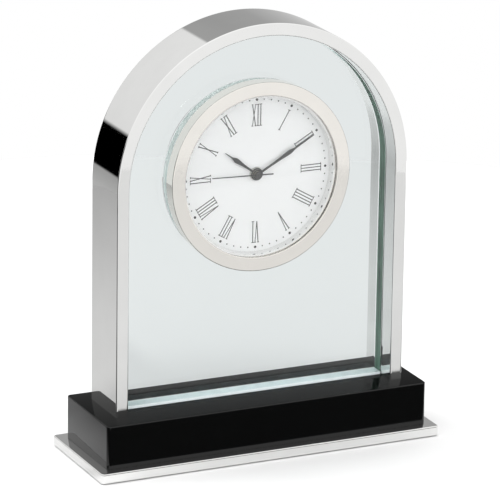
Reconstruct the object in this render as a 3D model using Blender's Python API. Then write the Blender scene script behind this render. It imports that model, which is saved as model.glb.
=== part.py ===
"""Arched glass mantel clock: a hoop of polished metal around a glass panel, on a black block and
a metal plate, with a round quartz insert held in a hole through the glass.

Lengths are millimetres and become metres in add_object. +X is right, the front faces -Y, +Z is up.
The origin is the middle of the underside.
"""
import math

import bmesh
import bpy
from mathutils import Vector
from mathutils.geometry import tessellate_polygon

MM = 0.001
GAP = 0.3                       # left between neighbours that touch on the real clock

# Base
PAD_SIZE = (150.0, 42.0)
PAD_THICKNESS = 1.0
PAD_RECESS = 0.9                # depth of the recess in the plate's underside
PLATE_SIZE = (163.4, 55.4)
PLATE_BOTTOM = 0.4
PLATE_TOP = 4.9
BLOCK_SIZE = (154.2, 46.0)
BLOCK_BOTTOM = PLATE_TOP + GAP
BLOCK_TOP = 24.5
CORNER_RADIUS = 1.6
EDGE_BEVEL = 0.45

# Arch and glass
ARCH_RADIUS = 69.2
ARCH_BAND = 5.6
ARCH_DEPTH = 28.0
ARCH_FOOT = BLOCK_TOP + GAP
CENTRE_Z = 125.1                # common centre of the arch, the glass hole and the dial
SEAT_HEIGHT = 0.5
GLASS_RADIUS = ARCH_RADIUS - ARCH_BAND - GAP
GLASS_DEPTH = 10.0
GLASS_FOOT = ARCH_FOOT + SEAT_HEIGHT + GAP
GLASS_HOLE = 41.2

# Clock insert, along Y from its own origin: the bezel's front is the most negative
INSERT_Y = 0.9                  # the insert's origin lies this far behind the glass's middle
BEZEL_FRONT = -12.3
BEZEL_RADIUS = 42.5
BEZEL_OPENING = 36.3
BEZEL_BORE = 39.3
BEZEL_SKIRT = 40.2
BEZEL_SKIRT_END = -2.0
BEZEL_BACK = -GLASS_DEPTH / 2 - GAP - INSERT_Y
LIP_BACK = -11.5
LENS_RADIUS = 39.0
LENS_BACK = -10.4
SEAL_BORE = 37.3
SEAL_THICKNESS = 0.6
RING_BORE_FRONT = 35.35         # the reflector ring's bore narrows towards the dial
RING_BORE_BACK = 34.6
DIAL_RADIUS = 38.9
DIAL_FRONT = -6.0
DIAL_BACK = -5.5
DIAL_HOLE = 3.0
CUP_RADIUS = 39.0
CUP_WALL = 1.5
CUP_BACK = 10.0
CUP_FRONT = DIAL_BACK + GAP

# Movement housing
HOUSING_HALF = 26.0
HOUSING_CORNER = 3.5
HOUSING_WALL = 1.2
HOUSING_FRONT = DIAL_BACK + GAP
HOUSING_FLOOR = HOUSING_FRONT + HOUSING_WALL
HOUSING_SPLIT = 1.0
HOUSING_ROOF = 5.3
HOUSING_BACK = HOUSING_ROOF + HOUSING_WALL
PLATE_LEVEL = (-0.5, 0.3)       # the middle plate that carries the train

# Train: layers along Y, and each axis as (x, z) from the clock's centre
HOUR_LEVEL = (-3.6, -2.9)
MOTION_LEVEL = (-2.5, -1.9)
CENTRE_LEVEL = (-1.5, -0.9)
THIRD_LEVEL = (0.7, 1.3)
SECOND_LEVEL = (1.8, 2.4)
STEP_LEVEL = (3.0, 3.6)
PIVOT_RADIUS = 0.38
PIVOT_HOLE = 0.46
ARBOR_RADIUS = 0.55
TOOTH_FILL = 0.36               # tooth width at the pitch circle, as a share of the pitch


def polar(radius, degrees):
    """Point at an angle from +X towards +Z."""
    return (radius * math.cos(math.radians(degrees)), radius * math.sin(math.radians(degrees)))


MOTION_DISTANCE = 8.4
TRAIN_DISTANCE = 9.0
STEP_DISTANCE = 7.68
ROTOR_DISTANCE = 7.0
MOTION_AXIS = polar(MOTION_DISTANCE, 210)
KNOB_AXIS = tuple(a + b for a, b in zip(MOTION_AXIS, polar(MOTION_DISTANCE, 200)))
THIRD_AXIS = polar(TRAIN_DISTANCE, 90)
STEP_AXIS = polar(STEP_DISTANCE, -60)
ROTOR_AXIS = tuple(a + b for a, b in zip(STEP_AXIS, polar(ROTOR_DISTANCE, -30)))
BATTERY_AXIS = (-16.5, 14.0)
CENTRE_AXIS = (0.0, 0.0)
INSERT_ORIGIN = (0.0, INSERT_Y, CENTRE_Z)

# Hands: angle clockwise from twelve, at rest
HOUR_ANGLE = 306.0
MINUTE_ANGLE = 60.6
SECOND_ANGLE = 272.0
HOUR_LAYER = (-7.1, -6.8)
MINUTE_LAYER = (-7.8, -7.5)
SECOND_LAYER = (-8.4, -8.2)

ROUND_LARGE = 48                # sides of the large round pieces
ROUND_SMALL = 12
ARC_STEPS = 48                  # sides of the arch's half circle

COLOURS = {
    "polished_metal": ((0.86, 0.86, 0.85), 1.0, 0.04),
    "bezel_metal": ((0.88, 0.86, 0.82), 1.0, 0.08),
    "screw_steel": ((0.62, 0.62, 0.63), 1.0, 0.3),
    "black_gloss": ((0.004, 0.004, 0.005), 0.0, 0.05),
    "black_felt": ((0.02, 0.02, 0.022), 0.0, 0.95),
    "clear_glass": ((0.86, 0.93, 0.91), 0.0, 0.02),
    "adhesive": ((0.8, 0.84, 0.84), 0.0, 0.5),
    "rubber": ((0.03, 0.03, 0.03), 0.0, 0.7),
    "dial_white": ((0.86, 0.88, 0.88), 0.0, 0.5),
    "hand_grey": ((0.07, 0.075, 0.07), 0.0, 0.4),
    "case_plastic": ((0.03, 0.03, 0.032), 0.0, 0.45),
    "white_nylon": ((0.82, 0.82, 0.78), 0.0, 0.5),
    "gear_plastic": ((0.75, 0.72, 0.6), 0.0, 0.4),
    "brass": ((0.72, 0.55, 0.25), 1.0, 0.25),
    "copper": ((0.65, 0.28, 0.14), 1.0, 0.35),
    "silicon_iron": ((0.45, 0.45, 0.46), 1.0, 0.35),
    "circuit_green": ((0.05, 0.22, 0.1), 0.0, 0.4),
    "epoxy": ((0.01, 0.01, 0.01), 0.0, 0.3),
    "cell_steel": ((0.7, 0.7, 0.7), 1.0, 0.2),
}


def clear_scene():
    for old in list(bpy.data.objects):
        bpy.data.objects.remove(old, do_unlink=True)


def material(slot):
    made = bpy.data.materials.get(slot)
    if made:
        return made
    colour, metallic, roughness = COLOURS[slot]
    made = bpy.data.materials.new(slot)
    made.use_nodes = True
    shader = made.node_tree.nodes["Principled BSDF"]
    shader.inputs["Base Color"].default_value = (*colour, 1.0)
    shader.inputs["Metallic"].default_value = metallic
    shader.inputs["Roughness"].default_value = roughness
    return made


def add_object(name, slot, shapes, at=(0.0, 0.0, 0.0), turn=(0.0, 0.0, 0.0)):
    """One object from (points, faces) shapes in millimetres, placed by its location and rotation."""
    mesh = bpy.data.meshes.new(name)
    points = []
    faces = []
    for shape_points, shape_faces in shapes:
        start = len(points)
        points += [Vector(p) * MM for p in shape_points]
        faces += [[start + i for i in face] for face in shape_faces]
    mesh.from_pydata(points, [], faces)
    work = bmesh.new()
    work.from_mesh(mesh)
    bmesh.ops.recalc_face_normals(work, faces=work.faces)
    work.to_mesh(mesh)
    work.free()
    mesh.shade_smooth()
    mesh.set_sharp_from_angle(angle=math.radians(35))
    made = bpy.data.objects.new(name, mesh)
    bpy.context.scene.collection.objects.link(made)
    made.location = Vector(at) * MM
    made.rotation_euler = turn
    if slot:
        mesh.materials.append(material(slot))
    return made


def combine(target, operation, shapes, at, turn):
    """Cut shapes out of the target, or join them to it, with an exact Boolean."""
    tool = add_object(f"{target.name}_{operation.lower()}", None, shapes, at, turn)
    tool.hide_render = True
    tool.display_type = "WIRE"
    boolean = target.modifiers.new(operation.lower(), "BOOLEAN")
    boolean.operation = operation
    boolean.solver = "EXACT"
    boolean.object = tool


def add_cutter(target, shapes, at=(0.0, 0.0, 0.0), turn=(0.0, 0.0, 0.0)):
    combine(target, "DIFFERENCE", shapes, at, turn)


def add_join(target, shapes, at=(0.0, 0.0, 0.0), turn=(0.0, 0.0, 0.0)):
    combine(target, "UNION", shapes, at, turn)


def add_bevel(target, width):
    bevel = target.modifiers.new("bevel", "BEVEL")
    bevel.width = width * MM
    bevel.segments = 1
    bevel.limit_method = "ANGLE"
    bevel.angle_limit = math.radians(50)


# Outlines, as lists of (x, z) points

def circle(radius, sides=ROUND_SMALL, centre=(0.0, 0.0)):
    return [(centre[0] + radius * math.cos(2 * math.pi * i / sides),
             centre[1] + radius * math.sin(2 * math.pi * i / sides)) for i in range(sides)]


def rectangle(x0, x1, z0, z1):
    return [(x0, z0), (x1, z0), (x1, z1), (x0, z1)]


def rounded_rectangle(width, height, radius, steps=4):
    points = []
    for quarter, (sx, sz) in enumerate(((1, 1), (-1, 1), (-1, -1), (1, -1))):
        cx = sx * (width / 2 - radius)
        cz = sz * (height / 2 - radius)
        for step in range(steps + 1):
            dx, dz = polar(radius, 90 * quarter + 90 * step / steps)
            points.append((cx + dx, cz + dz))
    return points


def arch_outline(radius, foot, steps):
    """A half circle on straight legs, down to the foot's height."""
    arc = [polar(radius, 180 * i / steps) for i in range(steps + 1)]
    return [(radius, foot)] + arc + [(-radius, foot)]


def gear_outline(teeth, module, phase):
    """Clock teeth, narrow enough at the pitch circle to run with backlash."""
    pitch = teeth * module / 2
    root = pitch - 1.15 * module
    tip = pitch + 0.85 * module
    root_width = TOOTH_FILL * 1.25 * math.pi / teeth
    tip_width = TOOTH_FILL * 0.4 * math.pi / teeth
    points = []
    for tooth in range(teeth):
        middle = phase + 2 * math.pi * tooth / teeth
        for radius, offset in ((root, -root_width), (tip, -tip_width), (tip, tip_width), (root, root_width)):
            points.append(polar(radius, math.degrees(middle + offset)))
    return points


def meshing_phase(phase, teeth, other_teeth, direction):
    """Phase of the other gear that puts its gap where this gear has a tooth, along direction."""
    towards = math.radians(direction)
    return towards + math.pi - (phase - towards) * teeth / other_teeth - math.pi / other_teeth


def hand_outline(blade, hub, tail=()):
    """A hand that points up: blade and tail are (distance, half width) from the hub outwards."""
    right = [(width, reach) for reach, width in blade]
    left = [(-x, z) for x, z in reversed(right)]
    start = math.degrees(math.asin(blade[0][1] / hub))
    points = right + [p for p in left if p not in right]
    if not tail:
        return points + [polar(hub, 90 + start + (360 - 2 * start) * i / 20) for i in range(1, 20)]
    low = math.degrees(math.asin(tail[0][1] / hub))
    points += [polar(hub, 90 + start + (180 - start - low) * i / 8) for i in range(1, 8)]
    points += [(-width, -reach) for reach, width in tail]
    points += [(width, -reach) for reach, width in reversed(tail)]
    return points + [polar(hub, -90 + low + (180 - start - low) * i / 8) for i in range(1, 8)]


# Solids, as (points, faces)

def fill(points, faces, loops, y):
    """A flat cap at y between an outer loop and the loops inside it, each (outline, first index)."""
    flat = [[Vector((x, z, 0.0)) for x, z in outline] for outline, start in loops]
    index = [start + i for outline, start in loops for i in range(len(outline))]
    faces.extend([index[i] for i in triangle] for triangle in tessellate_polygon(flat))


def reach(outline):
    return max(math.hypot(x, z) for x, z in outline)


def layered(layers):
    """A solid built of layers along Y. Each layer is (y0, y1, outline, bore), and neighbouring
    outlines, and neighbouring bores, are the same or lie one inside the other."""
    points = []
    faces = []

    def ring(outline, y):
        start = len(points)
        points.extend((x, y, z) for x, z in outline)
        return (outline, start)

    def wall(low, high):
        count = len(low[0])
        for i in range(count):
            j = (i + 1) % count
            faces.append([low[1] + i, low[1] + j, high[1] + j, high[1] + i])

    def step(first, second, y):
        """Close the ring between two loops of different size."""
        if first[0] is second[0]:
            return
        outer, inner = (first, second) if reach(first[0]) > reach(second[0]) else (second, first)
        fill(points, faces, [outer, inner], y)

    previous = None
    for y0, y1, outline, bore in layers:
        shared = previous and previous[0][0] is outline
        low = previous[0] if shared else ring(outline, y0)
        shared_bore = previous and previous[1] and bore and previous[1][0] is bore
        low_bore = previous[1] if shared_bore else (ring(bore, y0) if bore else None)
        if previous is None:
            fill(points, faces, [low] + ([low_bore] if bore else []), y0)
        else:
            if not shared:
                step(previous[0], low, y0)
            if previous[1] and low_bore and not shared_bore:
                step(previous[1], low_bore, y0)
            elif bool(previous[1]) != bool(low_bore):
                fill(points, faces, [previous[1] or low_bore], y0)
        high = ring(outline, y1)
        wall(low, high)
        high_bore = None
        if bore:
            high_bore = ring(bore, y1)
            wall(low_bore, high_bore)
        previous = (high, high_bore)
    fill(points, faces, [previous[0]] + ([previous[1]] if previous[1] else []), layers[-1][1])
    return points, faces


def prism(outline, y0, y1, bore=None):
    return layered([(y0, y1, outline, bore)])


def turned(profile, sides=ROUND_LARGE):
    """A solid turned about the Y axis from a closed profile of (radius, y) points."""
    points = []
    rings = []
    for radius, y in profile:
        start = len(points)
        if radius == 0:
            points.append((0.0, y, 0.0))
            rings.append([start] * sides)
            continue
        points.extend((x, y, z) for x, z in circle(radius, sides))
        rings.append(list(range(start, start + sides)))
    faces = []
    for ring, following in zip(rings, rings[1:] + rings[:1]):
        for i in range(sides):
            j = (i + 1) % sides
            corners = [ring[i], ring[j], following[j], following[i]]
            face = list(dict.fromkeys(corners))
            if len(face) > 2:
                faces.append(face)
    return points, faces


def box(x0, x1, y0, y1, z0, z1):
    return prism(rectangle(x0, x1, z0, z1), y0, y1)


def moved(shape, dx=0.0, dy=0.0, dz=0.0):
    points, faces = shape
    return [(x + dx, y + dy, z + dz) for x, y, z in points], faces


def pin(radius, y0, y1, axis=(0.0, 0.0), sides=ROUND_SMALL):
    return prism(circle(radius, sides, axis), y0, y1)


def screw(head, head_height, shank, length, sides=ROUND_SMALL):
    """A cap screw along +Y whose head starts at zero, with a hexagon socket."""
    head_round = circle(head, sides)
    socket_depth = head_height * 0.6
    return layered([
        (0.0, socket_depth, head_round, circle(head * 0.5, 6)),
        (socket_depth, head_height, head_round, None),
        (head_height, length, circle(shank, sides), None),
    ])


UPRIGHT = (math.pi / 2, 0.0, 0.0)      # local +Y becomes world +Z, local +Z becomes world -Y
FORWARD = (0.0, 0.0, math.pi)          # local +Y becomes world -Y


def place_screws(name, shape, places, turn):
    """Identical screws, one numbered object each."""
    for number, place in enumerate(places, 1):
        add_object(f"{name}_{number}", "screw_steel", [shape], place, turn)


def corners(x, y):
    return [(sx * x, sy * y) for sx in (-1, 1) for sy in (-1, 1)]


def upright(name, slot, shapes):
    return add_object(name, slot, shapes, turn=UPRIGHT)


def four(shape, x, y):
    """Copies at the corners of a rectangle, in the local frame of an upright object."""
    return [moved(shape, dx=cx, dz=cy) for cx, cy in corners(x, y)]


def insert_object(name, slot, shapes, axis=CENTRE_AXIS, turn=0.0):
    """An object whose origin is on an axis along Y, at (x, z) from the clock's centre."""
    return add_object(name, slot, shapes, (axis[0], INSERT_Y, CENTRE_Z + axis[1]), (0.0, turn, 0.0))


# Base

PLATE_SCREW_X, PLATE_SCREW_Y = 48.0, 15.0
ARCH_SCREW_X, ARCH_SCREW_Y = ARCH_RADIUS - ARCH_BAND / 2, 8.0
PLATE_SCREW_HEAD, PLATE_SCREW_SHANK = 3.0, 1.5
ARCH_SCREW_HEAD, ARCH_SCREW_SHANK = 2.6, 1.3
SCREW_CLEARANCE = 0.3


def build_base():
    recess_top = PLATE_BOTTOM + PAD_RECESS
    pad = rounded_rectangle(*PAD_SIZE, 3.0)
    upright("felt_pad", "black_felt", [prism(pad, 0.0, PAD_THICKNESS)])

    plate = upright("base_plate", "polished_metal",
                    [prism(rounded_rectangle(*PLATE_SIZE, CORNER_RADIUS), PLATE_BOTTOM, PLATE_TOP)])
    add_bevel(plate, EDGE_BEVEL)
    recess = rounded_rectangle(PAD_SIZE[0] + 1.0, PAD_SIZE[1] + 1.0, 3.5)
    add_cutter(plate, [prism(recess, PLATE_BOTTOM - 1.0, recess_top)], turn=UPRIGHT)
    counterbore_top = recess_top + 2.2
    plate_hole = layered([
        (recess_top - 0.2, counterbore_top, circle(PLATE_SCREW_HEAD + SCREW_CLEARANCE), None),
        (counterbore_top, PLATE_TOP + 1.0, circle(PLATE_SCREW_SHANK + SCREW_CLEARANCE), None),
    ])
    add_cutter(plate, four(plate_hole, PLATE_SCREW_X, PLATE_SCREW_Y), turn=UPRIGHT)

    block = upright("base_block", "black_gloss",
                    [prism(rounded_rectangle(*BLOCK_SIZE, CORNER_RADIUS), BLOCK_BOTTOM, BLOCK_TOP)])
    add_bevel(block, EDGE_BEVEL)
    plate_screw_length = 9.0
    plate_screw_start = recess_top + 0.2
    tapped = pin(PLATE_SCREW_SHANK + SCREW_CLEARANCE, BLOCK_BOTTOM - 1.0,
                 plate_screw_start + plate_screw_length + 0.6)
    arch_head_bottom = BLOCK_BOTTOM + 0.5
    arch_head_height = 2.4
    arch_bore_top = arch_head_bottom + arch_head_height + GAP
    arch_hole = layered([
        (BLOCK_BOTTOM - 1.0, arch_bore_top, circle(ARCH_SCREW_HEAD + SCREW_CLEARANCE), None),
        (arch_bore_top, BLOCK_TOP + 1.0, circle(ARCH_SCREW_SHANK + SCREW_CLEARANCE), None),
    ])
    add_cutter(block, four(tapped, PLATE_SCREW_X, PLATE_SCREW_Y)
               + four(arch_hole, ARCH_SCREW_X, ARCH_SCREW_Y), turn=UPRIGHT)

    plate_screw = screw(PLATE_SCREW_HEAD, 1.7, PLATE_SCREW_SHANK, plate_screw_length)
    place_screws("plate_screw", plate_screw,
                 [(x, y, plate_screw_start) for x, y in corners(PLATE_SCREW_X, PLATE_SCREW_Y)], UPRIGHT)

    thread_in_leg = 8.0
    arch_screw_length = ARCH_FOOT + thread_in_leg - arch_head_bottom
    arch_screw = screw(ARCH_SCREW_HEAD, arch_head_height, ARCH_SCREW_SHANK, arch_screw_length)
    place_screws("arch_screw", arch_screw,
                 [(x, y, arch_head_bottom) for x, y in corners(ARCH_SCREW_X, ARCH_SCREW_Y)], UPRIGHT)

    return thread_in_leg


def build_arch(thread_in_leg):
    centre = (0.0, 0.0, CENTRE_Z)
    foot = ARCH_FOOT - CENTRE_Z
    outer = arch_outline(ARCH_RADIUS, foot, ARC_STEPS)
    inner = arch_outline(ARCH_RADIUS - ARCH_BAND, foot, ARC_STEPS)
    hoop = add_object("arch_frame", "polished_metal",
                      [prism(outer + inner[::-1], -ARCH_DEPTH / 2, ARCH_DEPTH / 2)], centre)
    add_bevel(hoop, EDGE_BEVEL)
    leg_hole = pin(ARCH_SCREW_SHANK + SCREW_CLEARANCE, ARCH_FOOT - 1.0,
                   ARCH_FOOT + thread_in_leg + 0.6)
    add_cutter(hoop, four(leg_hole, ARCH_SCREW_X, ARCH_SCREW_Y), turn=UPRIGHT)

    half = GLASS_RADIUS
    add_object("glass_seat", "adhesive",
               [box(-half, half, -GLASS_DEPTH / 2, GLASS_DEPTH / 2, ARCH_FOOT, ARCH_FOOT + SEAT_HEIGHT)])
    pane = prism(arch_outline(GLASS_RADIUS, GLASS_FOOT - CENTRE_Z, ARC_STEPS),
                 -GLASS_DEPTH / 2, GLASS_DEPTH / 2, circle(GLASS_HOLE, ROUND_LARGE))
    add_object("glass_panel", "clear_glass", [pane], centre)


# Insert case

CUP_SCREWS = ((19.5, 17.0), (19.5, -17.0), (-21.0, -19.0))
CUP_SCREW_HEAD, CUP_SCREW_SHANK = 2.0, 0.9
DOOR_SIZE = (17.0, 17.0)
DOOR_LEVEL = (10.3, 11.3)
CELL_RADIUS = 5.8
CELL_LEVEL = (0.2, 5.6)
KNOB_RADIUS = 5.5
KNOB_LEVEL = (10.4, 13.6)
STEM_RADIUS = 0.9


def build_bezel():
    rim = 0.4
    inner_rim = 0.2
    insert_object("bezel", "bezel_metal", [turned([
        (BEZEL_OPENING + inner_rim, BEZEL_FRONT),
        (BEZEL_RADIUS - rim, BEZEL_FRONT),
        (BEZEL_RADIUS, BEZEL_FRONT + rim),
        (BEZEL_RADIUS, BEZEL_BACK),
        (BEZEL_SKIRT, BEZEL_BACK),
        (BEZEL_SKIRT, BEZEL_SKIRT_END),
        (BEZEL_BORE, BEZEL_SKIRT_END),
        (BEZEL_BORE, LIP_BACK),
        (BEZEL_OPENING, LIP_BACK),
        (BEZEL_OPENING, BEZEL_FRONT + inner_rim),
    ])])
    insert_object("crystal_lens", "clear_glass",
                  [prism(circle(LENS_RADIUS, ROUND_LARGE), LIP_BACK + GAP, LENS_BACK)])
    seal_front = LENS_BACK + GAP
    seal_back = seal_front + SEAL_THICKNESS
    seal = prism(circle(DIAL_RADIUS, ROUND_LARGE), seal_front, seal_back, circle(SEAL_BORE, ROUND_LARGE))
    insert_object("lens_gasket", "rubber", [seal])
    insert_object("reflector_ring", "polished_metal", [turned([
        (RING_BORE_FRONT, seal_front),
        (SEAL_BORE - GAP, seal_front),
        (SEAL_BORE - GAP, seal_back + GAP),
        (DIAL_RADIUS, seal_back + GAP),
        (DIAL_RADIUS, DIAL_FRONT - GAP),
        (RING_BORE_BACK, DIAL_FRONT - GAP),
    ])])
    insert_object("dial", "dial_white",
                  [prism(circle(DIAL_RADIUS, ROUND_LARGE), DIAL_FRONT, DIAL_BACK, circle(DIAL_HOLE))])


def build_cup():
    inner = CUP_RADIUS - CUP_WALL
    floor = CUP_BACK - CUP_WALL
    cup = insert_object("case_cup", "case_plastic", [turned([
        (0.0, floor), (inner, floor), (inner, CUP_FRONT), (CUP_RADIUS, CUP_FRONT),
        (CUP_RADIUS, CUP_BACK - 1.0), (CUP_RADIUS - 1.0, CUP_BACK), (0.0, CUP_BACK),
    ])])
    # Rails that hold the battery door against the back
    x0 = BATTERY_AXIS[0] - DOOR_SIZE[0] / 2
    x1 = BATTERY_AXIS[0] + DOOR_SIZE[0] / 2
    z0 = BATTERY_AXIS[1] - DOOR_SIZE[1] / 2
    z1 = BATTERY_AXIS[1] + DOOR_SIZE[1] / 2
    lip_top = DOOR_LEVEL[1] + GAP + 0.8
    rails = []
    for edge, side in ((x0, -1), (x1, 1)):
        wall = sorted((edge + side * GAP, edge + side * 1.6))
        lip = sorted((edge - side * 1.0, edge + side * 1.2))
        rails.append(box(*wall, CUP_BACK - 0.5, lip_top, z0, z1))
        rails.append(box(*lip, DOOR_LEVEL[1] + GAP, lip_top - 0.1, z0 + 0.2, z1 - 0.2))
    stop = box(x0, x1, CUP_BACK - 0.4, DOOR_LEVEL[1], z0 - GAP - 1.2, z0 - GAP)
    for rail in rails + [stop]:
        add_join(cup, [rail], INSERT_ORIGIN)
    holes = [pin(CELL_RADIUS + 0.8, floor - 1.0, CUP_BACK + 0.2, BATTERY_AXIS, 24),
             pin(STEM_RADIUS + 0.4, floor - 1.0, CUP_BACK + 1.0, KNOB_AXIS)]
    head_level = CUP_BACK - 0.9
    for axis in CUP_SCREWS:
        holes.append(moved(layered([
            (floor - 1.0, head_level, circle(CUP_SCREW_SHANK + SCREW_CLEARANCE), None),
            (head_level, CUP_BACK + 1.0, circle(CUP_SCREW_HEAD + SCREW_CLEARANCE), None),
        ]), dx=axis[0], dz=axis[1]))
    add_cutter(cup, holes, INSERT_ORIGIN)

    length = CUP_BACK - 0.1 - HOUSING_ROOF - 0.3
    place_screws("cup_screw", screw(CUP_SCREW_HEAD, 0.7, CUP_SCREW_SHANK, length),
                 [(x, INSERT_Y + CUP_BACK, CENTRE_Z + z) for x, z in CUP_SCREWS], FORWARD)

    bore = CUP_RADIUS + GAP
    crest = GLASS_HOLE - GAP
    shoulder = crest - 0.3
    root = crest - 0.6
    insert_object("grip_gasket", "rubber", [turned([
        (bore, -1.6), (shoulder, -1.6), (crest, -1.2), (root, -0.4), (crest, 0.4), (root, 1.2),
        (crest, 2.0), (shoulder, 2.4), (bore, 2.4),
    ])])


def build_battery():
    half_x, half_z = DOOR_SIZE[0] / 2, DOOR_SIZE[1] / 2
    door = insert_object("battery_door", "case_plastic",
                         [box(-half_x, half_x, *DOOR_LEVEL, -half_z, half_z)], BATTERY_AXIS)
    x, z = BATTERY_AXIS
    ridge_x = half_x - 2.2
    ridge_level = (DOOR_LEVEL[1] - 0.3, DOOR_LEVEL[1] + 0.5)
    ridges = [box(x - ridge_x, x + ridge_x, *ridge_level, z + dz - 0.5, z + dz + 0.5)
              for dz in (-4.0, -2.0, 0.0, 2.0, 4.0)]
    add_join(door, ridges, INSERT_ORIGIN)

    shoulder = CELL_LEVEL[0] + 0.5
    cell = turned([
        (0.0, CELL_LEVEL[0]),
        (CELL_RADIUS - 1.6, CELL_LEVEL[0]),
        (CELL_RADIUS - 1.4, shoulder),
        (CELL_RADIUS - 0.3, shoulder),
        (CELL_RADIUS, shoulder + 0.4),
        (CELL_RADIUS, CELL_LEVEL[1] - 0.3),
        (CELL_RADIUS - 0.3, CELL_LEVEL[1]),
        (0.0, CELL_LEVEL[1]),
    ], 24)
    insert_object("battery", "cell_steel", [cell], BATTERY_AXIS)
    insert_object("battery_contact_minus", "brass",
                  [box(x - 4.5, x + 6.0, CELL_LEVEL[0] - 0.6, CELL_LEVEL[0] - GAP, z - 1.5, z + 1.5)])
    side = x - CELL_RADIUS - GAP
    insert_object("battery_contact_plus", "brass",
                  [box(side - 0.4, side, CELL_LEVEL[0], CELL_LEVEL[1] - 0.8, z - 3.0, z + 3.0)])


# Movement

COVER_SCREW_AT = 22.6
COVER_SCREW_HEAD, COVER_SCREW_SHANK = 1.4, 0.7
COVER_SCREW_HEIGHT = 0.9
COIL_Z = -19.4
STATOR_LEVEL = (0.9, 1.7)
CORE_LEVEL = (2.0, 2.8)
ROTOR_MAGNET = 2.2
POSTS = ((-8.0, 14.5), (12.0, 14.5), (12.0, -13.0))


def build_housing():
    outer = rounded_rectangle(2 * HOUSING_HALF, 2 * HOUSING_HALF, HOUSING_CORNER)
    room = 2 * (HOUSING_HALF - HOUSING_WALL)
    inner = rounded_rectangle(room, room, HOUSING_CORNER - HOUSING_WALL)
    screw_axes = corners(COVER_SCREW_AT, COVER_SCREW_AT)

    collar = circle(2.7, 24)
    bush = circle(2.15, 24)
    base = insert_object("movement_base", "white_nylon", [layered([
        (DIAL_FRONT - 0.4, HOUSING_FRONT, collar, bush),
        (HOUSING_FRONT, HOUSING_FLOOR, outer, bush),
        (HOUSING_FLOOR, HOUSING_SPLIT, outer, inner),
    ])])
    posts = [pin(1.1, HOUSING_FLOOR - 0.5, PLATE_LEVEL[0] - GAP, axis) for axis in POSTS]
    posts += [pin(1.7, HOUSING_FLOOR - 0.5, HOUSING_SPLIT - 0.2, axis) for axis in screw_axes]
    posts.append(pin(0.7, HOUSING_FLOOR - 0.5, MOTION_LEVEL[1] + 0.2, MOTION_AXIS))
    add_join(base, posts, INSERT_ORIGIN)
    screw_tip = -1.4
    cuts = [pin(COVER_SCREW_SHANK + 0.25, screw_tip - 0.3, HOUSING_SPLIT + 1.0, axis) for axis in screw_axes]
    cuts.append(pin(PIVOT_HOLE, HOUSING_FRONT - 1.0, HOUSING_FLOOR + 1.0, THIRD_AXIS))
    add_cutter(base, cuts, INSERT_ORIGIN)

    cover = insert_object("movement_cover", "white_nylon", [layered([
        (HOUSING_SPLIT + GAP, HOUSING_ROOF, outer, inner),
        (HOUSING_ROOF, HOUSING_BACK, outer, None),
    ])])
    through = (HOUSING_ROOF - 1.0, HOUSING_BACK + 1.0)
    cuts = [pin(PIVOT_HOLE, *through, axis) for axis in (CENTRE_AXIS, THIRD_AXIS, STEP_AXIS, ROTOR_AXIS)]
    cuts += [pin(COVER_SCREW_SHANK + 0.25, *through, axis) for axis in screw_axes]
    cuts += [pin(CUP_SCREW_SHANK + SCREW_CLEARANCE, *through, axis) for axis in CUP_SCREWS]
    cuts.append(pin(STEM_RADIUS + 0.08, *through, KNOB_AXIS, 24))
    cuts.append(pin(CELL_RADIUS + 0.4, *through, BATTERY_AXIS, 24))
    add_cutter(cover, cuts, INSERT_ORIGIN)

    head_level = HOUSING_BACK + GAP + COVER_SCREW_HEIGHT
    length = head_level - screw_tip
    place_screws("cover_screw", screw(COVER_SCREW_HEAD, COVER_SCREW_HEIGHT, COVER_SCREW_SHANK, length),
                 [(x, INSERT_Y + head_level, CENTRE_Z + z) for x, z in screw_axes], FORWARD)

    plate = insert_object("middle_plate", "white_nylon",
                          [box(-10.0, 14.0, *PLATE_LEVEL, -15.0, 16.5)])
    through = (PLATE_LEVEL[0] - 1.0, PLATE_LEVEL[1] + 1.0)
    add_cutter(plate, [pin(1.0, *through, CENTRE_AXIS), pin(ARBOR_RADIUS + 0.1, *through, THIRD_AXIS),
                       pin(PIVOT_HOLE, *through, STEP_AXIS), pin(PIVOT_HOLE, *through, ROTOR_AXIS)],
               INSERT_ORIGIN)


def build_motor():
    stator = insert_object("stator", "silicon_iron", [prism([
        (-9.5, -8.4), (-9.5, -21.0), (-6.5, -21.0), (-6.5, -14.4), (12.5, -14.4), (12.5, -21.0),
        (15.5, -21.0), (15.5, -8.4)], *STATOR_LEVEL)])
    add_cutter(stator, [pin(ROTOR_MAGNET + 0.35, STATOR_LEVEL[0] - 1, STATOR_LEVEL[1] + 1, ROTOR_AXIS, 20)],
               INSERT_ORIGIN)
    insert_object("coil_core", "silicon_iron",
                  [box(-9.5, 15.5, *CORE_LEVEL, COIL_Z - 1.1, COIL_Z + 1.1)])
    winding = turned([(1.5, -5.0), (2.5, -5.0), (2.5, -4.2), (2.1, -4.2), (2.1, 10.2), (2.5, 10.2),
                      (2.5, 11.0), (1.5, 11.0)], 20)
    points, faces = winding
    winding = ([(y, z + sum(CORE_LEVEL) / 2, x + COIL_Z) for x, y, z in points], faces)
    insert_object("coil", "copper", [winding])
    board = (3.7, 4.5)
    under = board[0] - GAP
    insert_object("circuit_board", "circuit_green", [box(11.5, 24.0, *board, -3.0, 21.0)])
    blob = turned([(0.0, under - 1.0), (1.6, under - 0.8), (2.4, under), (0.0, under)], 20)
    insert_object("controller_chip", "epoxy", [blob], (18.0, 3.0))
    crystal = turned([(0.0, 0.0), (1.0, 0.0), (1.0, 6.0), (0.0, 6.0)], 14)
    points, faces = crystal
    insert_object("quartz_crystal", "cell_steel",
                  [([(x, z + under - 1.0, y) for x, y, z in points], faces)], (20.0, 10.0))


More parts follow.
